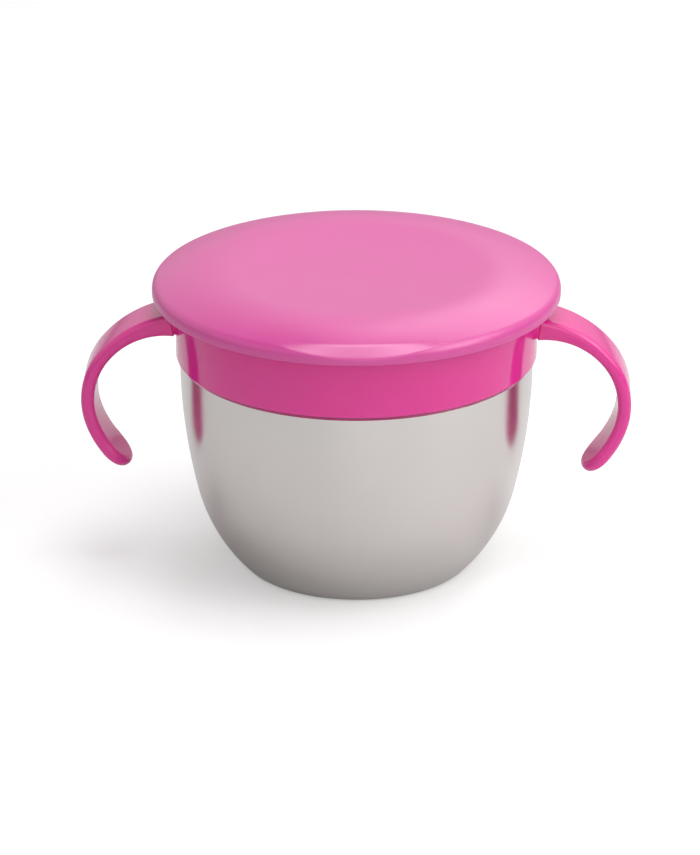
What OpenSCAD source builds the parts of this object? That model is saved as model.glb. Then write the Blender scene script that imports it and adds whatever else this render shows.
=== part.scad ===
// Toddler snack container: a stainless steel bowl, a clip-on collar with two
// strap handles, a ring of soft flaps for a small hand, and a press-on lid.
// Units are millimetres. Z is up, the base stands on z = 0, the bowl's axis is
// the Z axis, the handles lie along X and the front of the lid faces -Y.

/* [Bowl] */
// Outer radius of the bowl just below the collar
bowl_r = 44.25; // [38:0.25:54]
// Height of the bowl's wall up to the shoulder below the collar
bowl_h = 54.75; // [45:0.25:66]
// Thickness of the steel
steel_t = 0.7; // [0.5:0.1:1]
// How far the wall stands out past the edge of the flat foot
bowl_flare = 17.05; // [12:0.05:21]
// Radius of the small corner round the foot
foot_corner_r = 3; // [2:0.5:5]
// Lean of the wall where the foot's corner meets the belly, from vertical
foot_lean = 44; // [38:1:55]
// Lean of the wall where the belly meets the upper wall, from vertical
belly_lean = 13.5; // [10:0.5:18]
// Depth of the recess pressed into the base
recess_d = 0.6; // [0.3:0.1:1.2]
// Width of the flat ring that the bowl stands on
foot_ring_w = 4.5; // [3:0.5:8]
// Radius of the curl rolled at the rim
curl_r = 0.65; // [0.6:0.05:1]

/* [Collar] */
// How far the collar stands out past the bowl's wall
collar_overhang = 0.95; // [0.6:0.05:2]
// Height of the collar
collar_h = 15.15; // [12:0.15:20]
// Thickness of the collar's wall
collar_wall = 1.7; // [1.4:0.1:2.2]
// Gap between the bowl's shoulder and the collar's lower edge
collar_gap = 0.25; // [0.1:0.05:0.6]
// Radius of the collar's lower edge
collar_foot_round = 0.3; // [0.1:0.05:0.5]
// Radius of the collar's upper edge
collar_top_round = 0.5; // [0.2:0.1:0.8]
// Radial clearance between the rim's curl and the collar's wall
rim_clear = 0.35; // [0.2:0.05:0.6]
// Depth from the collar's top to the ledge that carries the soft ring
ledge_depth = 2.2; // [1.8:0.1:3]
// Thickness of the ledge
ledge_t = 1.5; // [1.2:0.1:2]
// How far the ledge reaches inwards from the collar's wall
ledge_w = 5.9; // [5:0.1:8]

/* [Handles] */
// How far a handle stands out from the collar
handle_out = 23.8; // [21:0.2:28]
// Radius of the strap's upper curve, at its middle line
arch_r = 27.8; // [24:0.2:32]
// Radius of the strap's outer bend
bend_r = 18.8; // [16:0.2:22]
// Radius of the curve that leads to the tip
tip_r = 26; // [20:0.5:34]
// Height angle at which the upper curve passes into the outer bend
arch_end = 40; // [30:1:50]
// Depth angle at which the outer bend passes into the tip's curve
bend_end = 20; // [10:1:30]
// How far the strap turns through the tip's curve before its end rounds off
tip_turn = 18; // [12:1:24]
// Thickness of the strap
handle_t = 3.4; // [3:0.1:4]
// Radius of the underside where the strap thickens towards the collar
root_under_r = 18.5; // [17.5:0.1:22]
// Width of the strap
handle_w = 14.2; // [12:0.2:16]
// Radius of the strap's long edges
handle_edge_r = 1.5; // [0.8:0.1:1.5]
// Depth from the collar's top to the top of the strap's upper curve
handle_drop = 3.4; // [3.2:0.1:5]
// Gap between the collar and the strap, bridged by the tongue
neck_gap = 1; // [0.8:0.1:2]
// Width of the tongue that holds a handle in the collar
tongue_w = 11; // [8:0.5:13]
// Thickness of that tongue
tongue_t = 2.4; // [1.8:0.1:2.4]
// Clearance round the tongue
tongue_clear = 0.05; // [0.02:0.01:0.1]
// Depth of the tongue's end below the inside of the collar's wall
tongue_short = 0.2; // [0.1:0.05:0.6]

/* [Soft ring and flaps] */
// Thickness of the silicone seal above the bowl's rim
seal_t = 1; // [0.8:0.1:1.5]
// Width of the seal
seal_w = 3; // [2:0.1:3.6]
// Radial clearance between the seal and the collar's wall
seal_clear = 0.05; // [0.02:0.01:0.1]
// Gap between the seal and the rim at rest
seal_gap = 0.2; // [0.1:0.05:0.4]
// Thickness of the lips that clip over the ledge
lip_t = 0.8; // [0.6:0.1:1]
// How far the lips reach over the ledge
lip_w = 2; // [1.5:0.1:2.5]
// Radial clearance between the ledge and the groove that it fills
groove_clear = 0.15; // [0.1:0.05:0.3]
// Thickness of the soft ring inside the ledge
ring_w = 2; // [1.5:0.1:3]
// Least width of the web between that ring and the flaps
web_w = 0.6; // [0.4:0.1:1.5]
// Thickness of the flaps
flap_t = 1.2; // [0.8:0.1:1.4]
// How far the flaps slope down towards the middle, in degrees
flap_slope = 5; // [0:0.5:8]
// Width of the slits between the flaps
slit = 0.3; // [0.2:0.05:0.5]
// Width of the slit at a flap's hinge
hinge_gap = 0.15; // [0.1:0.05:0.3]
// Corner cut off a flap at each end of its hinge, to clear the next flap
flap_corner = 1; // [0.8:0.1:2]

/* [Lid] */
// How far the lid stands out past the collar
lid_overhang = 5.8; // [4.8:0.1:7]
// Height of the lid's lower edge above the collar's top
lid_lift = 0.85; // [0.8:0.05:2]
// Thickness of the lid
lid_wall = 1.8; // [1.4:0.1:2.2]
// Height of the upright band round the edge
lid_band = 1.5; // [0.6:0.1:2]
// Radius of the edge above that band
lid_edge_r = 2.4; // [2.3:0.1:3]
// Radius of the broad shoulder
lid_shoulder_r = 43; // [32:1:50]
// Distance from the lid's highest ring out to its edge
lid_fall = 17; // [14:0.5:21]
// Depth of the dish in the middle of the lid
lid_dish = 1.1; // [0.6:0.1:1.6]
// Thickness of the ring that plugs into the collar
plug_t = 1.6; // [1.2:0.1:2]
// Gap between that ring and the ledge below it
plug_gap = 0.3; // [0.2:0.05:0.6]
// Radial clearance between that ring and the collar
plug_clear = 0.3; // [0.2:0.05:0.5]
// Width of the foot by which the lid sits on the collar
lid_foot_w = 1.4; // [1:0.1:2]
// Gap between that foot and the collar's top
lid_foot_gap = 0.2; // [0.1:0.05:0.4]
// How far the lid is turned on the collar, in degrees
lid_turn = 2.6; // [0:0.1:10]
// Depth of the finger scoop in from the edge, measured along the lid's radius
scoop_in = 2.95; // [2.5:0.05:6]
// How far the scoop's lower lip lies in from the lid's edge
scoop_inset = 0.35; // [0.2:0.05:0.8]
// Height of the scoop's lower lip above the lid's lower edge
scoop_lip = 1.9; // [1.1:0.05:2.2]
// Height of the scoop's upper end above its lower lip
scoop_rise = 2.65; // [2:0.05:3.2]
// How far the scoop's own axis lies behind the lid's axis
scoop_back = 24; // [12:1:36]

/* [Hidden] */
$fn = 96;

steel_colour = "#b9b6b3";
collar_colour = "#d6539f";
lid_colour = "#e57fc0";
soft_colour = "#ee9ac9";
seal_colour = "#e9e6e4";
flap_count = 6;
arc_steps = 16;
eps = 0.01;
lap_turn = 3;
lap_inset = 0.03;
thick_inset = 0.15;
tip_ease = 0.1;

// Radii, from the outside in
collar_r = bowl_r + collar_overhang;
lid_r = collar_r + lid_overhang;
lid_crest = lid_r - lid_fall;
handle_reach = collar_r + handle_out;
collar_in = collar_r - collar_wall;
neck_in = collar_in - rim_clear - 2 * curl_r;
neck_r = neck_in + steel_t;
shoulder_r = (bowl_r - neck_r) / 2;
ledge_in = collar_in - ledge_w;
ring_in = ledge_in - ring_w;
hex_r = ring_in - web_w;
flap_base = hex_r * cos(180 / flap_count);
foot_r = bowl_r - bowl_flare;

// Heights, from the base up
collar_z = bowl_h + shoulder_r + collar_gap;
collar_top = collar_z + collar_h;
ledge_top = collar_top - ledge_depth;
ledge_z = ledge_top - ledge_t;
rim_top = ledge_z - seal_t - seal_gap;
flap_z = ledge_z + (ledge_t - flap_t) / 2;
lid_z = collar_top + lid_lift;

// Points on an arc, from angle a0 to angle a1
function arc(centre, r, a0, a1) =
    [for (i = [0:arc_steps])
        let (a = a0 + (a1 - a0) * i / arc_steps)
        centre + r * [cos(a), sin(a)]];

function reversed(list) = [for (i = [len(list) - 1:-1:0]) list[i]];

// The bowl's side is three arcs that meet smoothly: the foot's corner, the
// belly and the upper wall. The two large radii follow from the bowl's height
// and radius and from how far the wall leans where the arcs meet.
side_out = bowl_r - foot_r - foot_corner_r * cos(foot_lean);
side_up = bowl_h - foot_corner_r * (1 - sin(foot_lean));
belly_out = cos(belly_lean) - cos(foot_lean);
belly_up = sin(foot_lean) - sin(belly_lean);
wall_out = 1 - cos(belly_lean);
wall_up = sin(belly_lean);
side_det = belly_out * wall_up - wall_out * belly_up;
belly_r = (side_out * wall_up - wall_out * side_up) / side_det;
wall_r = (belly_out * side_up - belly_up * side_out) / side_det;

corner_c = [foot_r, foot_corner_r];
belly_c = corner_c - (belly_r - foot_corner_r) * [cos(foot_lean), -sin(foot_lean)];
wall_c = [bowl_r - wall_r, bowl_h];
shoulder_c = [bowl_r - shoulder_r, bowl_h];
neck_c = [neck_r + shoulder_r, bowl_h + 2 * shoulder_r];
curl_c = [neck_in + curl_r, rim_top - curl_r];
curl_start = -acos((steel_t - curl_r) / curl_r);
recess_r = foot_r - foot_ring_w;

// One face of the bowl, from the base to the neck, as far in as inset
function bowl_side(inset) = concat(
    [[0, recess_d + inset], [recess_r - inset / 2, recess_d + inset],
     [recess_r + recess_d - inset / 2, inset]],
    arc(corner_c, foot_corner_r - inset, -90, -foot_lean),
    arc(belly_c, belly_r - inset, -foot_lean, -belly_lean),
    arc(wall_c, wall_r - inset, -belly_lean, 0),
    arc(shoulder_c, shoulder_r - inset, 0, 90),
    arc(neck_c, shoulder_r + inset, 270, 180));

module steel_bowl() {
    color(steel_colour)
        rotate_extrude()
            polygon(concat(bowl_side(0),
                           arc(curl_c, curl_r, curl_start, 180),
                           reversed(bowl_side(steel_t))));
}

// A flat ring between two radii and two heights
module ring(outer, inner, low, high) {
    translate([0, 0, low])
        difference() {
            cylinder(r = outer, h = high - low);
            translate([0, 0, -eps])
                cylinder(r = inner, h = high - low + 2 * eps);
        }
}

module rim_seal() {
    color(seal_colour)
        ring(collar_in - seal_clear, collar_in - seal_w, ledge_z - seal_t, ledge_z);
}

// The strap's middle line is three arcs in the XZ plane: the upper curve, the
// outer bend and the curve that leads to the tip
bend_c = [handle_reach - handle_t / 2 - bend_r,
          collar_top - handle_drop - handle_t / 2 - arch_r + (arch_r - bend_r) * sin(arch_end)];
arch_c = bend_c - (arch_r - bend_r) * [cos(arch_end), sin(arch_end)];
tip_c = bend_c + (bend_r - tip_r) * [cos(bend_end), -sin(bend_end)];
root_x = collar_r + neck_gap;
root_angle = acos((root_x - arch_c[0]) / arch_r);

// A second, tighter curve thickens the strap from below towards its root
thick_r = root_under_r + handle_t / 2;
thick_c = bend_c + (bend_r - thick_r) * [cos(arch_end), sin(arch_end)];
thick_angle = acos((root_x - thick_c[0]) / thick_r);
root_z = (arch_c[1] + arch_r * sin(root_angle) + thick_c[1] + thick_r * sin(thick_angle)) / 2;

// The tongue at a handle's root, oversized by more on every side but its ends
module tongue(inner, outer, more) {
    translate([inner, -tongue_w / 2 - more, root_z - tongue_t / 2 - more])
        cube([outer - inner, tongue_w + 2 * more, tongue_t + 2 * more]);
}

module collar() {
    foot_c = [collar_r - collar_foot_round, collar_z + collar_foot_round];
    top_c = [collar_r - collar_top_round, collar_top - collar_top_round];
    color(collar_colour)
        difference() {
            rotate_extrude()
                polygon(concat([[collar_in, collar_z]],
                               arc(foot_c, collar_foot_round, -90, 0),
                               arc(top_c, collar_top_round, 0, 90),
                               [[collar_in, collar_top], [collar_in, ledge_top],
                                [ledge_in, ledge_top], [ledge_in, ledge_z],
                                [collar_in, ledge_z]]));
            for (side = [0, 180])
                rotate([0, 0, side])
                    tongue(collar_in - collar_wall, collar_r + collar_wall, tongue_clear);
        }
}

// Cross-section of the strap, with rounded long edges
module strap_section(thickness, width) {
    flat_t = thickness - 2 * handle_edge_r;
    flat_w = width - 2 * handle_edge_r;
    square([thickness, flat_w], center = true);
    square([flat_t, width], center = true);
    for (x = [-1, 1], y = [-1, 1])
        translate([x * flat_t / 2, y * flat_w / 2])
            circle(handle_edge_r, $fn = 32);
}

// The strap swept round a centre in the XZ plane, from start through turn
// degrees, with its section inset on every side
module strap_arc(centre, r, start, turn, inset) {
    translate([centre[0], 0, centre[1]])
        rotate([90, 0, 0])
            rotate([0, 0, start])
                rotate_extrude(angle = turn)
                    translate([r, 0])
                        strap_section(handle_t - 2 * inset, handle_w - 2 * inset);
}

// What the rounded end leaves out: the strap's two corners at the tip
module tip_corners() {
    round_r = handle_w / 2 + tip_ease;
    translate([tip_c[0], 0, tip_c[1]])
        rotate([0, bend_end + tip_turn, 0])
            difference() {
                translate([tip_r - handle_t, -handle_w, -2 * handle_w])
                    cube([2 * handle_t, 2 * handle_w, 2 * handle_w]);
                rotate([0, 90, 0])
                    cylinder(r = round_r, h = 2 * tip_r);
            }
}

// Each curve starts a little way inside the one before, and a hair smaller,
// so that the three make one solid
module handle() {
    color(collar_colour)
        difference() {
            union() {
                strap_arc(arch_c, arch_r, arch_end, root_angle - arch_end, 0);
                strap_arc(thick_c, thick_r, arch_end + lap_turn,
                          thick_angle - arch_end - lap_turn, thick_inset);
                strap_arc(bend_c, bend_r, -bend_end, bend_end + arch_end + lap_turn, lap_inset);
                strap_arc(tip_c, tip_r, -bend_end - 2 * tip_turn, 2 * tip_turn + lap_turn,
                          2 * lap_inset);
                tongue(collar_in + tongue_short, root_x + tongue_t, 0);
            }
            tip_corners();
        }
}

module left_handle() {
    rotate([0, 0, 180])
        handle();
}

module right_handle() {
    handle();
}

// The soft ring clips over the ledge's inner edge with a lip above and below.
// A thin web inside it ends in straight sides, one for each flap.
module flap_ring() {
    ring_out = ledge_in + lip_w;
    groove = ledge_in - groove_clear;
    color(soft_colour)
        difference() {
            rotate_extrude()
                polygon([[0, flap_z], [ring_in, flap_z], [ring_in, ledge_z - lip_t],
                         [ring_out, ledge_z - lip_t], [ring_out, ledge_z],
                         [groove, ledge_z], [groove, ledge_top],
                         [ring_out, ledge_top], [ring_out, ledge_top + lip_t],
                         [ring_in, ledge_top + lip_t], [ring_in, flap_z + flap_t],
                         [0, flap_z + flap_t]]);
            translate([0, 0, flap_z - eps])
                cylinder(r = hex_r, h = flap_t + 2 * eps, $fn = flap_count);
        }
}

// One flap, hinged at the bottom edge of its base
module flap(index) {
    half_turn = 180 / flap_count;
    base = flap_base - hinge_gap;
    tip = slit / 2 / sin(half_turn);
    half_w = (base - tip) * tan(half_turn);
    color(soft_colour)
        rotate([0, 0, half_turn * (2 * index - 1)])
            translate([base, 0, flap_z])
                rotate([0, -flap_slope, 0])
                    linear_extrude(flap_t)
                        polygon([[0, half_w - flap_corner],
                                 [-flap_corner, half_w - flap_corner * tan(half_turn)],
                                 [tip - base, 0],
                                 [-flap_corner, flap_corner * tan(half_turn) - half_w],
                                 [0, flap_corner - half_w]]);
}

// The lid's upper face is a dish, a broad shoulder and a tight edge that meet
// smoothly above an upright band.
dish_sum_r = (lid_crest * lid_crest + lid_dish * lid_dish) / (2 * lid_dish);
dish_r = dish_sum_r - lid_shoulder_r;
dish_angle = asin(lid_crest / dish_sum_r);
edge_angle = asin((lid_r - lid_crest - lid_edge_r) / (lid_shoulder_r - lid_edge_r));
edge_c = [lid_r - lid_edge_r, lid_z + lid_band];
shoulder_base = edge_c - (lid_shoulder_r - lid_edge_r) * [sin(edge_angle), cos(edge_angle)];
dish_c = [0, shoulder_base[1] + dish_sum_r * cos(dish_angle)];
lid_top = shoulder_base[1] + lid_shoulder_r;

// One face of the lid, from the middle to the edge, as far in as inset
function lid_face(inset, low) = concat(
    arc(dish_c, dish_r + inset, -90, -90 + dish_angle),
    arc(shoulder_base, lid_shoulder_r - inset, 90 + dish_angle, 90 - edge_angle),
    arc(edge_c, lid_edge_r - inset, 90 - edge_angle, 0),
    [[lid_r - inset, low]]);

// The lid's shell, and its hollow filled down to a given height
module lid_shell() {
    rotate_extrude()
        polygon(concat(lid_face(0, lid_z), reversed(lid_face(lid_wall, lid_z))));
}

module under_lid(low) {
    rotate_extrude()
        polygon(concat(lid_face(lid_wall / 2, low), [[0, low]]));
}

// Everything in front of a cone whose axis lies behind the lid's own
module scoop_cutter() {
    lip = [lid_r + scoop_back - scoop_inset, lid_z + scoop_lip];
    upper = lip + [-scoop_in, scoop_rise];
    slope = (lip - upper) / scoop_in;
    far = scoop_in + lid_wall;
    rotate([0, 0, lid_turn])
        translate([0, scoop_back, 0])
            rotate_extrude($fn = 180)
                polygon([lip + slope * far, upper - slope * far,
                         [lip[0] + far, upper[1] + far * scoop_rise / scoop_in],
                         [lip[0] + far, lip[1] - far * scoop_rise / scoop_in]]);
}

module lid() {
    plug_r = collar_in - plug_clear;
    plug_in = plug_r - plug_t;
    color(lid_colour)
        difference() {
            union() {
                lid_shell();
                intersection() {
                    under_lid(ledge_top);
                    union() {
                        ring(plug_r, plug_in, ledge_top + plug_gap, lid_top);
                        ring(plug_r + lid_foot_w, plug_in, collar_top + lid_foot_gap, lid_top);
                    }
                }
            }
            scoop_cutter();
        }
}

steel_bowl();
rim_seal();
collar();
left_handle();
right_handle();
flap_ring();
flap(1);  // flap_1
flap(2);  // flap_2
flap(3);  // flap_3
flap(4);  // flap_4
flap(5);  // flap_5
flap(6);  // flap_6
lid();
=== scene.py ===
# %% [markdown]
# # A toddler's snack container
#
# The real object is a satin stainless steel bowl. A glossy plastic collar clips over its rim and carries
# two strap handles. Inside the collar sits a soft ring of flaps that lets a small hand in and keeps the
# snacks from falling out, and a satin plastic lid presses on over it all.
#
# The imported CAD model is the frame: it fixes every size and says what moves. Each piece here is drawn
# in millimetres on top of it and turned to metres when it is finished; all but the flap leaves ride on
# one of the CAD bodies.

# %% Load the frame
import math

import bmesh
import bpy
import numpy as np
from mathutils import Matrix, Vector


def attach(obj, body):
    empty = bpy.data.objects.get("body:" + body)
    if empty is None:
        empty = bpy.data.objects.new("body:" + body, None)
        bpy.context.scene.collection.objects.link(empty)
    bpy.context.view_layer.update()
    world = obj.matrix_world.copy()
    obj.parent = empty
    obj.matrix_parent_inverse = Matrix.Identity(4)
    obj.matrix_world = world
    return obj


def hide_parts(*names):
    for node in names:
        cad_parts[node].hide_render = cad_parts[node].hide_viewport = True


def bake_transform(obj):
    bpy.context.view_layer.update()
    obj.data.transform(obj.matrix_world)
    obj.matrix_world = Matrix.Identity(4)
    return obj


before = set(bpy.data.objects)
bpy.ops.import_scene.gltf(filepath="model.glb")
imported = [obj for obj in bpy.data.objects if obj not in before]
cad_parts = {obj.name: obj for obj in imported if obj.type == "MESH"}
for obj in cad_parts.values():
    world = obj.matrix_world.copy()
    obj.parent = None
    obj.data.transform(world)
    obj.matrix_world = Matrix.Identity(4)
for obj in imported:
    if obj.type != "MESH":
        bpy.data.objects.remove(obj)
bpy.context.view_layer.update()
scene = bpy.context.scene
scene.view_settings.view_transform = "Standard"

# %% [markdown]
# ## Small tools for the whole script
#
# Almost everything on this object is round, so most pieces start as a profile: one point, drawn along
# with lines and arcs, then spun round the bowl's axis. An arc could be typed in as a list of points, but
# spinning the last point round the arc's centre gives the same curve and keeps its radius readable.

# %% Drawing a profile
MM = 0.001
ROUND_STEPS = 240


def start(bm, x, z):
    """The first point of a profile, in the plane of the X and Z axes."""
    return bm.verts.new((x, 0, z))


def line(bm, vert, x, z):
    """A straight edge from the last point to a new one."""
    new = bmesh.ops.extrude_vert_indiv(bm, verts=[vert])["verts"][0]
    new.co = (x, 0, z)
    return new


def arc(bm, vert, x, z, turn, steps):
    """An arc round a centre. A positive turn goes from +X towards +Z, in degrees."""
    made = bmesh.ops.spin(bm, geom=[vert], cent=(x, 0, z), axis=(0, -1, 0), dvec=(0, 0, 0),
                          angle=math.radians(turn), steps=steps, use_merge=False,
                          use_normal_flip=False, use_duplicate=False)
    return [item for item in made["geom_last"] if isinstance(item, bmesh.types.BMVert)][0]


def spin_round(bm, geom):
    """Spins points and edges once round the bowl's axis."""
    bmesh.ops.spin(bm, geom=geom, cent=(0, 0, 0), axis=(0, 0, 1), dvec=(0, 0, 0), angle=math.tau,
                   steps=ROUND_STEPS, use_merge=True, use_normal_flip=False, use_duplicate=False)


# %% Finishing a piece
TOUCHING_MM = 0.002
NO_LENGTH_MM = 0.0005
SHARP_DEGREES = 32


def close_up(bm):
    """Merges what touches and turns every face outwards."""
    bmesh.ops.remove_doubles(bm, verts=bm.verts[:], dist=TOUCHING_MM)
    bmesh.ops.dissolve_degenerate(bm, edges=bm.edges[:], dist=NO_LENGTH_MM)
    bmesh.ops.recalc_face_normals(bm, faces=bm.faces[:])


def raise_faces(bm, faces, height):
    """Gives flat faces a thickness upwards."""
    made = bmesh.ops.extrude_face_region(bm, geom=faces)["geom"]
    tops = [item for item in made if isinstance(item, bmesh.types.BMVert)]
    bmesh.ops.translate(bm, vec=(0, 0, height), verts=tops)


def slice_across(bm, places):
    """Cuts the mesh across at places along X, so that it can bend there."""
    for place in places:
        bmesh.ops.bisect_plane(bm, geom=bm.verts[:] + bm.edges[:] + bm.faces[:], dist=0.0001,
                               plane_co=(place, 0, 0), plane_no=(1, 0, 0))


def to_piece(bm, name, material):
    """Turns a bmesh in millimetres into a smooth object in metres that keeps its sharp edges."""
    bmesh.ops.scale(bm, vec=(MM, MM, MM), verts=bm.verts[:])
    mesh = bpy.data.meshes.new(name)
    bm.to_mesh(mesh)
    bm.free()
    mesh.shade_smooth()
    mesh.set_sharp_from_angle(angle=math.radians(SHARP_DEGREES))
    mesh.materials.append(material)
    piece = bpy.data.objects.new(name, mesh)
    scene.collection.objects.link(piece)
    print(f"{name}: {len(mesh.vertices)} points, {len(mesh.polygons)} faces")
    return piece


# %% [markdown]
# ## The camera
#
# The photograph looks slightly down on the front, a little from the right, through a long lens. The
# distance, the height and the lens were found by fitting the round outlines of the lid, the collar and
# the bowl, which an ellipse shows very exactly.

# %% Camera
VIEW_TURN = 1.8
VIEW_RISE = 22.341
VIEW_DISTANCE = 1200
FOCUS_PX = 4754
FRAME_H_PX = 855
TARGET = (0, 0, 35.06)
OFF_CENTRE_PX = 6.4

turn, rise = math.radians(VIEW_TURN), math.radians(VIEW_RISE)
back = Vector((math.sin(turn) * math.cos(rise), -math.cos(turn) * math.cos(rise), math.sin(rise)))
camera_data = bpy.data.cameras.new("camera")
camera_data.sensor_width = 36
camera_data.lens = FOCUS_PX * camera_data.sensor_width / FRAME_H_PX
camera_data.shift_x = -OFF_CENTRE_PX / FRAME_H_PX
camera_data.clip_start = 0.05
camera_data.clip_end = 50
camera = bpy.data.objects.new("camera", camera_data)
camera.location = (Vector(TARGET) + back * VIEW_DISTANCE) * MM
camera.rotation_mode = "QUATERNION"
camera.rotation_quaternion = (-back).to_track_quat("-Z", "Y")
scene.collection.objects.link(camera)
scene.camera = camera
print("camera at", tuple(round(v, 3) for v in camera.location))

# %% [markdown]
# ## Making materials
#
# Every finish is a Principled shader with a few nodes in front of it. One helper adds a node with its
# settings and links, and one turns the hex colours that a paint chart gives into linear light.


# %% Material helpers
def srgb(hex_colour, alpha=1.0):
    """A hex colour, as written on screen, as linear light."""
    parts = [int(hex_colour[i:i + 2], 16) / 255 for i in (1, 3, 5)]
    return (*[p / 12.92 if p <= 0.04045 else ((p + 0.055) / 1.055) ** 2.4 for p in parts], alpha)


def add_node(tree, kind, inputs=None, **settings):
    """Adds a node. An input is a plain value, or an output socket to link from."""
    node = tree.nodes.new(kind)
    for key, value in settings.items():
        setattr(node, key, value)
    for key, value in (inputs or {}).items():
        if isinstance(value, bpy.types.NodeSocket):
            tree.links.new(value, node.inputs[key])
        else:
            node.inputs[key].default_value = value
    return node


def new_material(name):
    """An empty material with its output node, ready for a shader."""
    material = bpy.data.materials.new(name)
    material.use_nodes = True
    material.node_tree.nodes.clear()
    return material, material.node_tree


def finish_material(tree, shader):
    """Sends the shader to the material's output."""
    add_node(tree, "ShaderNodeOutputMaterial", {"Surface": shader.outputs["BSDF"]})


# %% Satin stainless steel
# Spun from sheet and brushed as it turned. The brush lines run round the bowl, so each reflection is
# blurred up and down but stays crisp from side to side, and the lines themselves are hardly seen.
BRUSH_LINES_MM = 0.3
BRUSH_LENGTH_MM = 35
SHEET_WAVES_MM = 30


def brushed_place(tree, lines_mm, length_mm):
    """Coordinates in which a noise becomes fine lines that run round the Z axis."""
    place = add_node(tree, "ShaderNodeTexCoord").outputs["Object"]
    apart = add_node(tree, "ShaderNodeSeparateXYZ", {"Vector": place})
    flat = add_node(tree, "ShaderNodeCombineXYZ", {"X": apart.outputs["X"], "Y": apart.outputs["Y"]})
    radius = add_node(tree, "ShaderNodeVectorMath", {0: flat.outputs[0]}, operation="LENGTH")
    along = add_node(tree, "ShaderNodeMath", {0: radius.outputs["Value"], 1: apart.outputs["Z"]},
                     operation="ADD")
    lines = add_node(tree, "ShaderNodeCombineXYZ",
                     {"X": apart.outputs["X"], "Y": apart.outputs["Y"], "Z": along.outputs[0]})
    length, width = 1 / (length_mm * MM), 1 / (lines_mm * MM)
    return add_node(tree, "ShaderNodeMapping",
                    {"Vector": lines.outputs[0], "Scale": (length, length, width)}).outputs[0]


def make_steel():
    """Steel whose tint, gloss and fine relief follow the brush lines and the sheet's slow waves."""
    material, tree = new_material("satin_stainless_steel")
    place = add_node(tree, "ShaderNodeTexCoord").outputs["Object"]
    brush = add_node(tree, "ShaderNodeTexNoise",
                     {"Vector": brushed_place(tree, BRUSH_LINES_MM, BRUSH_LENGTH_MM), "Scale": 1,
                      "Detail": 3, "Roughness": 0.6})
    waves = add_node(tree, "ShaderNodeTexNoise",
                     {"Vector": place, "Scale": 1 / (SHEET_WAVES_MM * MM), "Detail": 2})
    both = add_node(tree, "ShaderNodeMath", {0: waves.outputs["Fac"], 1: brush.outputs["Fac"]},
                    operation="ADD")
    tint = add_node(tree, "ShaderNodeMix",
                    {"Factor": add_node(tree, "ShaderNodeMath", {0: both.outputs[0], 1: 0.5},
                                        operation="MULTIPLY").outputs[0],
                     "A": srgb("#cfcac8"), "B": srgb("#dad6d3")}, data_type="RGBA")
    rough = add_node(tree, "ShaderNodeMapRange",
                     {"Value": brush.outputs["Fac"], "From Min": 0.3, "From Max": 0.7,
                      "To Min": 0.22, "To Max": 0.25})
    bump = add_node(tree, "ShaderNodeBump",
                    {"Height": brush.outputs["Fac"], "Strength": 0.03, "Distance": 0.002 * MM})
    shader = add_node(tree, "ShaderNodeBsdfPrincipled",
                      {"Base Color": tint.outputs["Result"], "Metallic": 1.0,
                       "Roughness": rough.outputs["Result"], "Normal": bump.outputs["Normal"],
                       "Anisotropic": 0.7, "Anisotropic Rotation": 0.25,
                       "Tangent": add_node(tree, "ShaderNodeTangent", direction_type="RADIAL",
                                           axis="Z").outputs[0]})
    finish_material(tree, shader)
    return material


steel = make_steel()


# %% Moulded plastics
# Polypropylene takes its gloss from the mould: polished steel for the collar and handles, a fine
# etched grain for the lid. The etching is too fine to draw, so the lid's roughness stands for it and
# its grain is a faint unevenness. The soft flaps are a rubbery elastomer and the seal is silicone.
MOTTLE_MM = 9
SOFT_RADIUS_MM = 1.0


def make_moulded(name, low, high, roughness, grain_mm, grain_depth, soft=0.0, ior=1.49, shine=0.5):
    """A moulded plastic: a faint drift of colour, a grain from the mould and uneven gloss."""
    material, tree = new_material(name)
    place = add_node(tree, "ShaderNodeTexCoord").outputs["Object"]
    drift = add_node(tree, "ShaderNodeTexNoise",
                     {"Vector": place, "Scale": 1 / (MOTTLE_MM * MM), "Detail": 3})
    tint = add_node(tree, "ShaderNodeMix",
                    {"Factor": drift.outputs["Fac"], "A": srgb(low), "B": srgb(high)},
                    data_type="RGBA")
    grain = add_node(tree, "ShaderNodeTexNoise",
                     {"Vector": place, "Scale": 1 / (grain_mm * MM), "Detail": 2})
    gloss = add_node(tree, "ShaderNodeMapRange",
                     {"Value": drift.outputs["Fac"], "From Min": 0.3, "From Max": 0.7,
                      "To Min": roughness * 0.92, "To Max": roughness * 1.1})
    bump = add_node(tree, "ShaderNodeBump",
                    {"Height": grain.outputs["Fac"], "Strength": 0.3, "Distance": grain_depth * MM})
    shader = add_node(tree, "ShaderNodeBsdfPrincipled",
                      {"Base Color": tint.outputs["Result"], "Roughness": gloss.outputs["Result"],
                       "Normal": bump.outputs["Normal"], "IOR": ior, "Specular IOR Level": shine,
                       "Subsurface Weight": soft, "Subsurface Scale": SOFT_RADIUS_MM * MM,
                       "Subsurface Radius": (1.0, 0.45, 0.6)})
    finish_material(tree, shader)
    return material


gloss_pink = make_moulded("polished_polypropylene", "#de2c90", "#e23396", 0.1, 6, 0.012, shine=0.65)
satin_pink = make_moulded("etched_polypropylene", "#d03893", "#d53e99", 0.3, 1.6, 0.002, shine=1.0)
soft_pink = make_moulded("soft_elastomer", "#e077b4", "#e57fba", 0.5, 0.7, 0.01, soft=0.15)
silicone = make_moulded("translucent_silicone", "#dcd8d4", "#e4e1dd", 0.45, 0.8, 0.008, soft=0.2,
                        ior=1.41)

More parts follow.
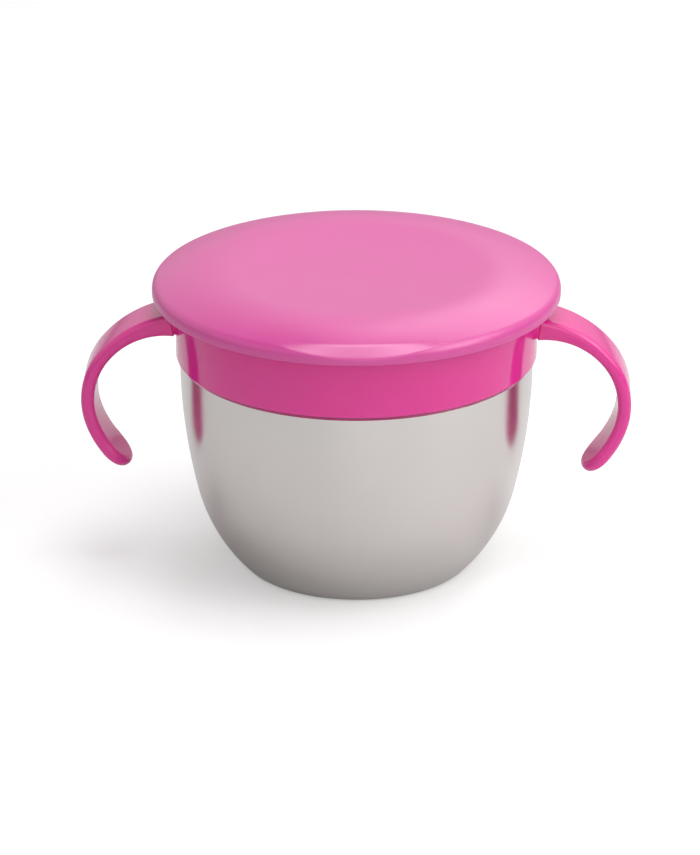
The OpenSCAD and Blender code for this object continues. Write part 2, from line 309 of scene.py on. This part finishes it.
# %% [markdown]
# ## The bowl
#
# A pressed and spun bowl of thin steel: a flat foot with a shallow recess, a small corner, a large belly
# that runs up into a nearly upright wall, and a neck that steps in under the collar. A fine dark gap
# shows between the wall's top and the collar. Two circles of unknown radius have to meet the corner, the
# wall's top and each other smoothly, which is two equations, so numpy solves them. Only the outside is
# drawn. Solidify then gives the sheet its thickness, the way that the real bowl is one sheet.

# %% Bowl sizes
BOWL_R = 44.25
BOWL_H = 54.75
STEEL_T = 0.7
FOOT_R = 27.2
CORNER_R = 3.0
FOOT_LEAN = 44.0
BELLY_LEAN = 13.5
RECESS_R = 22.7
RECESS_D = 0.6
RECESS_FLAT_R = 21.5
RECESS_BEND_R = 1.5
RECESS_SLOPE = 32
SHOULDER_Z = 55.35
SHOULDER_CHAMFER = 0.42
NECK_R = 42.55
CURL_R = 0.65
CURL_STEPS = 16
RIM_TOP = 66.1

low_lean, high_lean = math.radians(FOOT_LEAN), math.radians(BELLY_LEAN)
outwards = [math.cos(high_lean) - math.cos(low_lean), 1 - math.cos(high_lean)]
upwards = [math.sin(low_lean) - math.sin(high_lean), math.sin(high_lean)]
spans = [BOWL_R - FOOT_R - CORNER_R * math.cos(low_lean), BOWL_H - CORNER_R * (1 - math.sin(low_lean))]
belly_r, wall_r = np.linalg.solve([outwards, upwards], spans)
belly_x = FOOT_R - (belly_r - CORNER_R) * math.cos(low_lean)
belly_z = CORNER_R + (belly_r - CORNER_R) * math.sin(low_lean)
print(f"belly radius {belly_r:.1f} mm, wall radius {wall_r:.1f} mm")


# %% Bowl mesh
def ring_bead(bm, x, z, radius):
    """A round bead at the rim: a circle in the profile's plane, spun round the axis."""
    point = bm.verts.new((x + radius, 0, z))
    bmesh.ops.spin(bm, geom=[point], cent=(x, 0, z), axis=(0, -1, 0), dvec=(0, 0, 0),
                   angle=math.tau, steps=CURL_STEPS, use_merge=True, use_normal_flip=False,
                   use_duplicate=False)
    loop = [edge for edge in bm.edges if edge.is_wire]
    points = list({vert for edge in loop for vert in edge.verts})
    spin_round(bm, points + loop)


def make_bowl():
    """The bowl's outside from the base's middle to the rim, given the sheet's thickness."""
    bm = bmesh.new()
    point = start(bm, 0, RECESS_D)
    point = line(bm, point, RECESS_FLAT_R, RECESS_D)
    point = arc(bm, point, RECESS_FLAT_R, RECESS_D - RECESS_BEND_R, -RECESS_SLOPE, 5)
    point = line(bm, point, RECESS_R + RECESS_D, 0)
    point = line(bm, point, FOOT_R, 0)
    point = arc(bm, point, FOOT_R, CORNER_R, 90 - FOOT_LEAN, 10)
    point = arc(bm, point, belly_x, belly_z, FOOT_LEAN - BELLY_LEAN, 26)
    point = arc(bm, point, BOWL_R - wall_r, BOWL_H, BELLY_LEAN, 24)
    point = line(bm, point, BOWL_R, SHOULDER_Z - SHOULDER_CHAMFER)
    point = line(bm, point, BOWL_R - SHOULDER_CHAMFER, SHOULDER_Z)
    point = line(bm, point, NECK_R, SHOULDER_Z)
    line(bm, point, NECK_R, RIM_TOP - CURL_R)
    spin_round(bm, bm.verts[:] + bm.edges[:])
    close_up(bm)
    bmesh.ops.solidify(bm, geom=bm.faces[:], thickness=STEEL_T)
    ring_bead(bm, NECK_R - STEEL_T + CURL_R, RIM_TOP - CURL_R, CURL_R)
    return to_piece(bm, "bowl_shell", steel)


bowl = make_bowl()
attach(bowl, "bowl")
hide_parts("steel_bowl")

# %% [markdown]
# ## The collar and the seal under its ledge
#
# One moulding: an upright wall that covers the rim, and a ledge inside it that holds the soft ring. It is
# drawn as one closed outline and spun, so the rounded edges that catch the light stay exact.

# %% Collar sizes
COLLAR_R = 45.2
COLLAR_IN = 43.5
COLLAR_Z = 55.85
COLLAR_TOP = 71.0
COLLAR_FOOT_ROUND = 0.45
COLLAR_TOP_ROUND = 0.5
LEDGE_IN = 37.6
LEDGE_Z = 67.3
LEDGE_TOP = 68.8
SEAL_IN = 40.5
SEAL_OUT = 43.45
SEAL_T = 1.0


def make_collar():
    """The collar's wall and the ledge inside it, as one spun outline."""
    bm = bmesh.new()
    first = start(bm, COLLAR_IN, COLLAR_Z)
    point = line(bm, first, COLLAR_R - COLLAR_FOOT_ROUND, COLLAR_Z)
    point = arc(bm, point, COLLAR_R - COLLAR_FOOT_ROUND, COLLAR_Z + COLLAR_FOOT_ROUND, 90, 6)
    point = line(bm, point, COLLAR_R, COLLAR_TOP - COLLAR_TOP_ROUND)
    point = arc(bm, point, COLLAR_R - COLLAR_TOP_ROUND, COLLAR_TOP - COLLAR_TOP_ROUND, 90, 6)
    point = line(bm, point, COLLAR_IN, COLLAR_TOP)
    point = line(bm, point, COLLAR_IN, LEDGE_TOP)
    point = line(bm, point, LEDGE_IN, LEDGE_TOP)
    point = line(bm, point, LEDGE_IN, LEDGE_Z)
    point = line(bm, point, COLLAR_IN, LEDGE_Z)
    bm.edges.new((point, first))
    spin_round(bm, bm.verts[:] + bm.edges[:])
    close_up(bm)
    return to_piece(bm, "collar_ring", gloss_pink)


def make_seal():
    """A flat ring with round edges that lies against the ledge from below."""
    bm = bmesh.new()
    round_r = SEAL_T / 2
    middle = LEDGE_Z - round_r
    first = start(bm, SEAL_IN + round_r, LEDGE_Z - SEAL_T)
    point = line(bm, first, SEAL_OUT - round_r, LEDGE_Z - SEAL_T)
    point = arc(bm, point, SEAL_OUT - round_r, middle, 180, 10)
    point = line(bm, point, SEAL_IN + round_r, LEDGE_Z)
    arc(bm, point, SEAL_IN + round_r, middle, 180, 10)
    spin_round(bm, bm.verts[:] + bm.edges[:])
    close_up(bm)
    return to_piece(bm, "rim_seal_ring", silicone)


collar = make_collar()
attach(collar, "collar")
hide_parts("collar")
seal = make_seal()
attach(seal, "collar")
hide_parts("rim_seal")

# %% [markdown]
# ## The handles
#
# Each handle is a flat strap that leaves the collar, arches over, bends down and ends in a rounded tip. A
# section swept along the curve would make the rounded end hard to close. So the strap is cut out flat
# first, as a rectangle with two corners bevelled round, given its thickness and its soft edges, sliced
# across every millimetre or so, and only then bent along its curve.

# %% Handle sizes
HANDLE_REACH = 69.0
STRAP_T = 3.4
STRAP_W = 14.2
STRAP_EDGE_R = 1.55
TIP_GAP = 0.01
ARCH_R = 27.8
BEND_R = 18.8
TIP_R = 26.0
ARCH_END = math.radians(40)
BEND_END = math.radians(20)
TIP_TURN = math.radians(18)
HANDLE_DROP = 3.4
NECK_GAP = 1.0
ROOT_UNDER_R = 18.5


def on_circle(centre, radius, angle):
    """The point of the XZ plane at an angle on a circle, and the direction out to it."""
    out = Vector((math.cos(angle), math.sin(angle)))
    return Vector(centre) + out * radius, out


bend_c = Vector((HANDLE_REACH - STRAP_T / 2 - BEND_R,
                 COLLAR_TOP - HANDLE_DROP - STRAP_T / 2 - ARCH_R
                 + (ARCH_R - BEND_R) * math.sin(ARCH_END)))
arch_c = on_circle(bend_c, BEND_R - ARCH_R, ARCH_END)[0]
tip_c = on_circle(bend_c, BEND_R - TIP_R, -BEND_END)[0]
thick_c = on_circle(bend_c, BEND_R - ROOT_UNDER_R - STRAP_T / 2, ARCH_END)[0]
root_angle = math.acos((COLLAR_R + NECK_GAP - arch_c.x) / ARCH_R)
curves = [(arch_c, ARCH_R, root_angle, ARCH_END), (bend_c, BEND_R, ARCH_END, -BEND_END),
          (tip_c, TIP_R, -BEND_END, -math.pi)]
strap_length = (ARCH_R * (root_angle - ARCH_END) + BEND_R * (ARCH_END + BEND_END)
                + TIP_R * TIP_TURN + STRAP_W / 2)
print(f"strap length {strap_length:.1f} mm, bend centre {tuple(round(v, 2) for v in bend_c)}")

# %% Cutting out the flat strap
NECK_LENGTH = 2.6
NECK_SLICE = 0.15
FINE_TO = 1.0
COARSE_FROM = 1.2
SLICE = 1.0


def flat_strap():
    """The strap before it is bent: along X from the root, its tip round and its edges soft."""
    bm = bmesh.new()
    bmesh.ops.create_grid(bm, x_segments=1, y_segments=1, size=0.5)
    bmesh.ops.translate(bm, vec=(0.5, 0, -STRAP_T / 2), verts=bm.verts[:])
    bmesh.ops.scale(bm, vec=(strap_length + NECK_LENGTH, STRAP_W, 1), verts=bm.verts[:])
    bmesh.ops.translate(bm, vec=(-NECK_LENGTH, 0, 0), verts=bm.verts[:])
    tips = [vert for vert in bm.verts if vert.co.x > 0]
    bmesh.ops.bevel(bm, geom=tips, offset=STRAP_W / 2 - TIP_GAP, offset_type="OFFSET", segments=28,
                    profile=0.5, affect="VERTICES", clamp_overlap=True, material=-1)
    raise_faces(bm, bm.faces[:], STRAP_T)
    close_up(bm)
    rims = [edge for edge in bm.edges if abs(edge.verts[0].co.z - edge.verts[1].co.z) < 1
            and max(vert.co.x for vert in edge.verts) > 0]
    bmesh.ops.bevel(bm, geom=rims, offset=STRAP_EDGE_R, offset_type="OFFSET", segments=8,
                    profile=0.5, affect="EDGES", clamp_overlap=False, material=-1)
    slice_across(bm, np.arange(-NECK_LENGTH, FINE_TO, NECK_SLICE)[1:])
    slice_across(bm, np.arange(COARSE_FROM, strap_length, SLICE))
    return bm


# %% Bending the strap
# The neck between strap and collar is a little narrower and thinner, and flares in a fillet at the wall.
NECK_W = 13.2
NECK_T = 0.86
ROOT_REACH = 0.6
NECK_EASE = 0.45
FILLET_R = 1.6
EMBED = 0.3


def root_shape(along, width):
    """Near the root: how much the neck narrows, how far its fillet flares, and where the wall is."""
    wall = math.sqrt(COLLAR_R ** 2 - width ** 2)
    clear = COLLAR_R + NECK_GAP + along - wall
    reached = min(max(-along / NECK_EASE, 0), 1)
    near = min(max(1 - clear / FILLET_R, 0), 1)
    return reached * reached * (3 - 2 * reached), FILLET_R * (1 - math.sqrt(1 - near ** 2)), wall


def bent(along, width, height):
    """Where a point of the flat strap lies once the strap is bent."""
    necked, flare, wall = root_shape(along, width) if along < ROOT_REACH else (0, 0, 0)
    for centre, radius, first_angle, last_angle in curves:
        span = radius * (first_angle - last_angle)
        if along <= span:
            break
        along -= span
    middle, out = on_circle(centre, radius, first_angle - along / radius)
    thicker = 1
    if height < 0 and centre is arch_c:
        from_thick = middle - thick_c
        reach = from_thick.dot(out)
        depth = reach - math.sqrt(reach ** 2 - from_thick.length_squared + ROOT_UNDER_R ** 2)
        thicker = max(depth / (STRAP_T / 2), 1)
    height *= thicker * (1 + necked * (NECK_T - 1)) + 2 * flare / STRAP_T
    width *= 1 + necked * (NECK_W / STRAP_W - 1) + 2 * flare / STRAP_W
    point = middle + out * height
    return max(point.x, wall - EMBED), width, point.y


def make_handle(name, turned):
    """A bent strap at the right of the bowl, turned round the axis to its side."""
    bm = flat_strap()
    for vert in bm.verts:
        vert.co = bent(*vert.co)
    bmesh.ops.recalc_face_normals(bm, faces=bm.faces[:])
    bmesh.ops.rotate(bm, cent=(0, 0, 0), matrix=Matrix.Rotation(turned, 3, "Z"), verts=bm.verts[:])
    return to_piece(bm, name, gloss_pink)


right = make_handle("right_strap", 0)
left = make_handle("left_strap", math.pi)
for piece, node in ((right, "right_handle"), (left, "left_handle")):
    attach(piece, "collar")
    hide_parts(node)

# %% [markdown]
# ## The soft ring and its flaps
#
# The ring grips the collar's ledge with a lip above and a lip below. Its flaps bend at thin living
# hinges, so each flap here is a leaf that starts inside the ring's web, which rides on the collar, and is
# sliced finely along its hinge. Each leaf takes the place of its CAD flap, which is hidden.

# %% Soft ring sizes
RING_IN = 35.6
LIP_OUT = 39.6
LIP_T = 0.8
GROOVE_R = 37.45
RING_EDGE_R = 0.3
HEX_R = 35.0
HEX_CUTS = 20
WEB_R = 36.0
FLAP_Z = 67.45
FLAP_T = 1.2
FLAP_SLOPE = math.radians(5)
HINGE_GAP = 0.15
SLIT = 0.3
FLAP_CORNER = 1.0
FLAPS = 6
HALF_TURN = math.pi / FLAPS
flap_base = HEX_R * math.cos(HALF_TURN) - HINGE_GAP


def make_soft_ring():
    """The grip round the collar's ledge, and the web between it and the six hinge lines."""
    bm = bmesh.new()
    lip_r = LIP_T / 2
    low, high = LEDGE_Z - LIP_T, LEDGE_TOP + LIP_T
    first = start(bm, RING_IN + RING_EDGE_R, low)
    point = line(bm, first, LIP_OUT - lip_r, low)
    point = arc(bm, point, LIP_OUT - lip_r, low + lip_r, 180, 8)
    point = line(bm, point, GROOVE_R, LEDGE_Z)
    point = line(bm, point, GROOVE_R, LEDGE_TOP)
    point = line(bm, point, LIP_OUT - lip_r, LEDGE_TOP)
    point = arc(bm, point, LIP_OUT - lip_r, high - lip_r, 180, 8)
    point = line(bm, point, RING_IN + RING_EDGE_R, high)
    point = arc(bm, point, RING_IN + RING_EDGE_R, high - RING_EDGE_R, 90, 4)
    point = line(bm, point, RING_IN, low + RING_EDGE_R)
    arc(bm, point, RING_IN + RING_EDGE_R, low + RING_EDGE_R, 90, 4)
    spin_round(bm, bm.verts[:] + bm.edges[:])
    close_up(bm)
    hexagon = bmesh.ops.create_circle(bm, cap_ends=False, radius=HEX_R, segments=FLAPS)["verts"]
    edges = list({edge for vert in hexagon for edge in vert.link_edges})
    bmesh.ops.translate(bm, vec=(0, 0, FLAP_Z), verts=hexagon)
    bmesh.ops.subdivide_edges(bm, edges=edges, cuts=HEX_CUTS)
    edges = list({edge for edge in bm.edges if edge.is_wire})
    made = bmesh.ops.extrude_edge_only(bm, edges=edges)["geom"]
    outer = [item for item in made if isinstance(item, bmesh.types.BMVert)]
    for vert in outer:
        vert.co.xy = vert.co.xy.normalized() * WEB_R
    web = [item for item in made if isinstance(item, bmesh.types.BMFace)]
    bmesh.ops.recalc_face_normals(bm, faces=web)
    raise_faces(bm, web, FLAP_T)
    return to_piece(bm, "soft_ring", soft_pink)


soft_ring = make_soft_ring()
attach(soft_ring, "collar")
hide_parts("flap_ring")


# %% Flap leaves
LEAF_TUCK = 0.1
LEAF_EDGE_R = 0.12
HINGE_SLICE = 0.6
HINGE_LENGTH = 5.0
LEAF_SLICE = 4


def make_leaf(index):
    """One flap: cut out flat along X, sliced where it bends, then turned to its place."""
    tip = SLIT / 2 / math.sin(HALF_TURN)
    half_w = (flap_base - tip) * math.tan(HALF_TURN)
    bm = bmesh.new()
    upper = [(HINGE_GAP + LEAF_TUCK, half_w - FLAP_CORNER), (0, half_w - FLAP_CORNER),
             (-FLAP_CORNER, half_w - FLAP_CORNER * math.tan(HALF_TURN))]
    outline = [*upper, (tip - flap_base, 0), *((x, -y) for x, y in reversed(upper))]
    face = bm.faces.new([bm.verts.new((x, y, 0)) for x, y in outline])
    raise_faces(bm, [face], FLAP_T)
    bmesh.ops.recalc_face_normals(bm, faces=bm.faces[:])
    inside = LEAF_TUCK / 2
    sides = [edge for edge in bm.edges if max(vert.co.x for vert in edge.verts) < inside]
    bmesh.ops.bevel(bm, geom=sides, offset=LEAF_EDGE_R, offset_type="OFFSET", segments=2, profile=0.5,
                    affect="EDGES", clamp_overlap=True, material=-1)
    slice_across(bm, -np.arange(0, HINGE_LENGTH, HINGE_SLICE))
    slice_across(bm, -np.arange(HINGE_LENGTH + 1, flap_base, LEAF_SLICE))
    sloping = [vert for vert in bm.verts if vert.co.x < inside]
    bmesh.ops.rotate(bm, cent=(0, 0, 0), matrix=Matrix.Rotation(-FLAP_SLOPE, 3, "Y"), verts=sloping)
    bmesh.ops.translate(bm, vec=(flap_base, 0, FLAP_Z), verts=bm.verts[:])
    angle = HALF_TURN * (2 * index - 1)
    bmesh.ops.rotate(bm, cent=(0, 0, 0), matrix=Matrix.Rotation(angle, 3, "Z"), verts=bm.verts[:])
    leaf = to_piece(bm, f"flap_leaf_{index}", soft_pink)
    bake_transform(leaf)
    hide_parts(f"flap_{index}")


for flap in range(1, FLAPS + 1):
    make_leaf(flap)

# %% [markdown]
# ## The lid
#
# A satin overcap with a slightly dished top, a broad shoulder, a tight edge and a short upright band. A
# plug ring under it goes into the collar. The profile is spun like the others, but the front is spun
# finer, because the finger scoop is pressed into it afterwards. Across the scoop's width a slanting line
# joins the shoulder to the edge, and rises to nothing at both ends. Each point of the outer skin that
# lies past its line moves back along its own normal to the line. A boolean cut would do too, but leaves
# slivers that spoil the soft shine.

# %% Lid sizes
LID_R = 51.0
LID_Z = 71.85
LID_WALL = 1.8
LID_BAND = 1.5
LID_EDGE_R = 2.4
LID_SHOULDER_R = 43.0
CREST_R = 34.0
DISH = 1.1
PLUG_R = 43.2
PLUG_IN = 41.6
PLUG_Z = 69.1
PLUG_ROUND = 0.3
LID_FOOT_R = 44.6
LID_FOOT_Z = 71.2
LID_TURN = 2.6
LID_LIP_ROUND = 0.35

# The top's dish meets the shoulder's arc smoothly: their radii add up to dish_sum.
dish_sum = (CREST_R ** 2 + DISH ** 2) / (2 * DISH)
dish_angle = math.asin(CREST_R / dish_sum)
edge_x, edge_z = LID_R - LID_EDGE_R, LID_Z + LID_BAND
edge_angle = math.asin((edge_x - CREST_R) / (LID_SHOULDER_R - LID_EDGE_R))
shoulder_z = edge_z - (LID_SHOULDER_R - LID_EDGE_R) * math.cos(edge_angle)
dish_z = shoulder_z + dish_sum * math.cos(dish_angle)
inner_shoulder = LID_SHOULDER_R - LID_WALL
print(f"lid top at {shoulder_z + LID_SHOULDER_R:.2f} mm")


def shoulder_lean(x):
    """How far the inner shoulder leans at a distance from the axis, and its height there."""
    lean = math.asin((x - CREST_R) / inner_shoulder)
    return math.degrees(lean), shoulder_z + inner_shoulder * math.cos(lean)


# %% Lid mesh
FINE_ARC = 70
FINE_STEPS = 190
COARSE_STEPS = 145


def make_lid():
    """The lid from the middle of its top, over the edge, round the plug ring and back to the middle."""
    bm = bmesh.new()
    turn_dish, turn_edge = math.degrees(dish_angle), math.degrees(edge_angle)
    dish_r = dish_sum - LID_SHOULDER_R
    point = start(bm, 0, dish_z - dish_r)
    point = arc(bm, point, 0, dish_z, turn_dish, 16)
    point = arc(bm, point, CREST_R, shoulder_z, -turn_dish - turn_edge, 46)
    point = arc(bm, point, edge_x, edge_z, turn_edge - 90, 18)
    point = line(bm, point, LID_R, LID_Z + LID_LIP_ROUND)
    point = arc(bm, point, LID_R - LID_LIP_ROUND, LID_Z + LID_LIP_ROUND, -90, 4)
    point = line(bm, point, LID_R - LID_WALL, LID_Z)
    point = line(bm, point, LID_R - LID_WALL, edge_z)
    point = arc(bm, point, edge_x, edge_z, 90 - turn_edge, 4)
    point = arc(bm, point, CREST_R, shoulder_z, turn_edge - shoulder_lean(LID_FOOT_R)[0], 6)
    point = line(bm, point, LID_FOOT_R, LID_FOOT_Z)
    point = line(bm, point, PLUG_R, LID_FOOT_Z)
    point = line(bm, point, PLUG_R, PLUG_Z + PLUG_ROUND)
    point = arc(bm, point, PLUG_R - PLUG_ROUND, PLUG_Z + PLUG_ROUND, -90, 3)
    point = line(bm, point, PLUG_IN + PLUG_ROUND, PLUG_Z)
    point = arc(bm, point, PLUG_IN + PLUG_ROUND, PLUG_Z + PLUG_ROUND, -90, 3)
    plug_lean, plug_top = shoulder_lean(PLUG_IN)
    point = line(bm, point, PLUG_IN, plug_top)
    point = arc(bm, point, CREST_R, shoulder_z, plug_lean + turn_dish, 10)
    arc(bm, point, 0, dish_z, -turn_dish, 12)
    bmesh.ops.rotate(bm, cent=(0, 0, 0), verts=bm.verts[:],
                     matrix=Matrix.Rotation(math.radians(LID_TURN - 90 - FINE_ARC / 2), 3, "Z"))
    made = bmesh.ops.spin(bm, geom=bm.verts[:] + bm.edges[:], cent=(0, 0, 0), axis=(0, 0, 1),
                          dvec=(0, 0, 0), angle=math.radians(FINE_ARC), steps=FINE_STEPS,
                          use_merge=False, use_normal_flip=False, use_duplicate=False)
    bmesh.ops.spin(bm, geom=made["geom_last"], cent=(0, 0, 0), axis=(0, 0, 1), dvec=(0, 0, 0),
                   angle=math.radians(360 - FINE_ARC), steps=COARSE_STEPS, use_merge=False,
                   use_normal_flip=False, use_duplicate=False)
    close_up(bm)
    press_scoop(bm)
    return to_piece(bm, "lid_cap", satin_pink)


# %% The finger scoop
SCOOP_HALF_W = 20.5
SCOOP_TOP_R = 48.0
SCOOP_TOP_OUT = 1.1
SCOOP_LIP_Z = 73.5
SCOOP_LIP_RISE = 2.3
SCOOP_SOFT = 0.1
SCOOP_AHEAD = 40
SCOOP_FROM_R = 45
SCOOP_OVER_LIP = 0.4
SCOOP_END_SHARE = 0.999
SCOOP_FADE = 4
LEAST_REACH = 0.05
LEAST_STEEP = 0.2


def scoop_line(share):
    """The scoop's line at a share of its half width: its upper end, its normal and its reach outwards."""
    top_r = SCOOP_TOP_R + SCOOP_TOP_OUT * share ** 2
    top = Vector((top_r, shoulder_z + math.sqrt(LID_SHOULDER_R ** 2 - (top_r - CREST_R) ** 2)))
    lip_up = SCOOP_LIP_Z + SCOOP_LIP_RISE * share ** 2 - edge_z
    lip = Vector((edge_x + math.sqrt(max(LID_EDGE_R ** 2 - lip_up ** 2, 0)), edge_z + lip_up))
    along = lip - top
    return top, Vector((-along.y, along.x)).normalized(), along.x


def press_scoop(bm):
    """Moves the outer skin at the lid's front back to the scoop's slanting lines, softly."""
    turned = math.radians(LID_TURN)
    forward = Vector((math.sin(turned), -math.cos(turned), 0))
    sideways = Vector((math.cos(turned), math.sin(turned), 0))
    bm.normal_update()
    moves = {}
    for vert in bm.verts:
        radius = vert.co.xy.length
        share = abs(vert.co.dot(sideways)) / SCOOP_HALF_W
        if share > SCOOP_END_SHARE or vert.co.dot(forward) < SCOOP_AHEAD or radius < SCOOP_FROM_R:
            continue
        if vert.co.z < LID_Z + SCOOP_OVER_LIP or vert.normal.z < -0.01:
            continue
        point, across, reach = scoop_line(share)
        radial = Vector((vert.co.x, vert.co.y, 0)) / radius
        steep = vert.normal.dot(radial) * across.x + vert.normal.z * across.y
        if reach > LEAST_REACH and steep > LEAST_STEEP:
            past = (Vector((radius, vert.co.z)) - point).dot(across)
            soft = SCOOP_SOFT * min((1 - share) * SCOOP_FADE, 1)
            moves[vert] = vert.normal * (-(past + math.hypot(past, soft)) / 2 / steep)
    for vert, move in moves.items():
        vert.co += move


lid = make_lid()
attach(lid, "lid")
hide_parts("lid")

# %% [markdown]
# ## The studio
#
# A plain pale floor in an evenly lit white room, a soft box overhead, one behind, a key light and a small
# floor light on the right, and a weak fill in front. In mirrors the room is bright halfway up and dim
# near the top, so that the dished top of the lid shines softly, its edge stays deep pink, and the finger
# scoop catches the box overhead. To the camera the room is plain white, and the floor is lifted to white
# but keeps the shadow.

# %% Floor and world
FLOOR_SIZE = 8.0
FLOOR_GREY = 0.8
GREY_DRIFT = 0.01
GRAINS_A_METRE = 40
FLOOR_LIFT = 0.31
ROOM_LEVEL = 0.36
ROOM_IN_MIRRORS = [(0.0, 0.5), (0.12, 0.75), (0.3, 1.0), (0.64, 1.0), (0.88, 0.3), (1.0, 0.2)]


def make_floor():
    """A pale floor that the camera sees a little lighter, so that only the shadow shows on it."""
    material, tree = new_material("pale_studio_floor")
    seen = add_node(tree, "ShaderNodeLightPath")
    lift = add_node(tree, "ShaderNodeMath", {0: seen.outputs["Is Camera Ray"], 1: FLOOR_LIFT},
                    operation="MULTIPLY")
    place = add_node(tree, "ShaderNodeTexCoord").outputs["Object"]
    grain = add_node(tree, "ShaderNodeTexNoise", {"Vector": place, "Scale": GRAINS_A_METRE})
    grey = add_node(tree, "ShaderNodeMapRange",
                    {"Value": grain.outputs["Fac"], "To Min": FLOOR_GREY - GREY_DRIFT,
                     "To Max": FLOOR_GREY + GREY_DRIFT})
    shader = add_node(tree, "ShaderNodeBsdfPrincipled",
                      {"Base Color": grey.outputs["Result"], "Roughness": 1.0,
                       "Specular IOR Level": 0.0, "Emission Color": (1, 1, 1, 1),
                       "Emission Strength": lift.outputs[0]})
    finish_material(tree, shader)
    bm = bmesh.new()
    bmesh.ops.create_grid(bm, x_segments=2, y_segments=2, size=FLOOR_SIZE / 2)
    mesh = bpy.data.meshes.new("studio_floor")
    bm.to_mesh(mesh)
    bm.free()
    mesh.materials.append(material)
    floor = bpy.data.objects.new("studio_floor", mesh)
    scene.collection.objects.link(floor)


def make_room():
    """A world that is plain white to the camera, graded by height in mirrors, and even elsewhere."""
    room = bpy.data.worlds.new("studio_room")
    scene.world = room
    room.use_nodes = True
    tree = room.node_tree
    tree.nodes.clear()
    seen = add_node(tree, "ShaderNodeLightPath")
    where = add_node(tree, "ShaderNodeTexCoord").outputs["Generated"]
    apart = add_node(tree, "ShaderNodeSeparateXYZ", {"Vector": where})
    ramp = add_node(tree, "ShaderNodeValToRGB", {"Fac": apart.outputs["Z"]})
    ramp.color_ramp.interpolation = "EASE"
    while len(ramp.color_ramp.elements) < len(ROOM_IN_MIRRORS):
        ramp.color_ramp.elements.new(0.5)
    for stop, (height, level) in zip(ramp.color_ramp.elements, ROOM_IN_MIRRORS):
        stop.position = height
        stop.color = (level, level, level, 1)
    mirrored = add_node(tree, "ShaderNodeMix",
                        {"Factor": seen.outputs["Is Glossy Ray"], "A": (ROOM_LEVEL,) * 3 + (1,),
                         "B": ramp.outputs["Color"]}, data_type="RGBA")
    shown = add_node(tree, "ShaderNodeMix",
                     {"Factor": seen.outputs["Is Camera Ray"], "A": mirrored.outputs["Result"],
                      "B": (1, 1, 1, 1)}, data_type="RGBA")
    sky = add_node(tree, "ShaderNodeBackground", {"Color": shown.outputs["Result"], "Strength": 1.0})
    add_node(tree, "ShaderNodeOutputWorld", {"Surface": sky.outputs[0]})


make_floor()
make_room()


# %% Lamps
# Each has a name, a place, what it looks at, the side of its square and its watts.
MIDDLE = (0, 0, 0.04)
FLOOR_BESIDE = (0.22, -0.06, 0)
LAMPS = [("overhead", (0.08, -0.02, 1.1), MIDDLE, 0.6, 5.0),
         ("key_right", (0.8, -0.5, 0.5), MIDDLE, 0.6, 2.5),
         ("floor_right", (0.36, -0.08, 0.4), FLOOR_BESIDE, 0.3, 0.6),
         ("back_right", (0.4, 1.0, 1.05), MIDDLE, 0.9, 3.6),
         ("fill_front", (0.1, -1.2, 0.35), MIDDLE, 0.7, 2.0)]

for name, place, aim, size, watts in LAMPS:
    data = bpy.data.lights.new(name, "AREA")
    data.shape = "SQUARE"
    data.size = size
    data.energy = watts
    lamp = bpy.data.objects.new(name, data)
    lamp.location = place
    lamp.rotation_mode = "QUATERNION"
    lamp.rotation_quaternion = (Vector(aim) - Vector(place)).to_track_quat("-Z", "Y")
    scene.collection.objects.link(lamp)
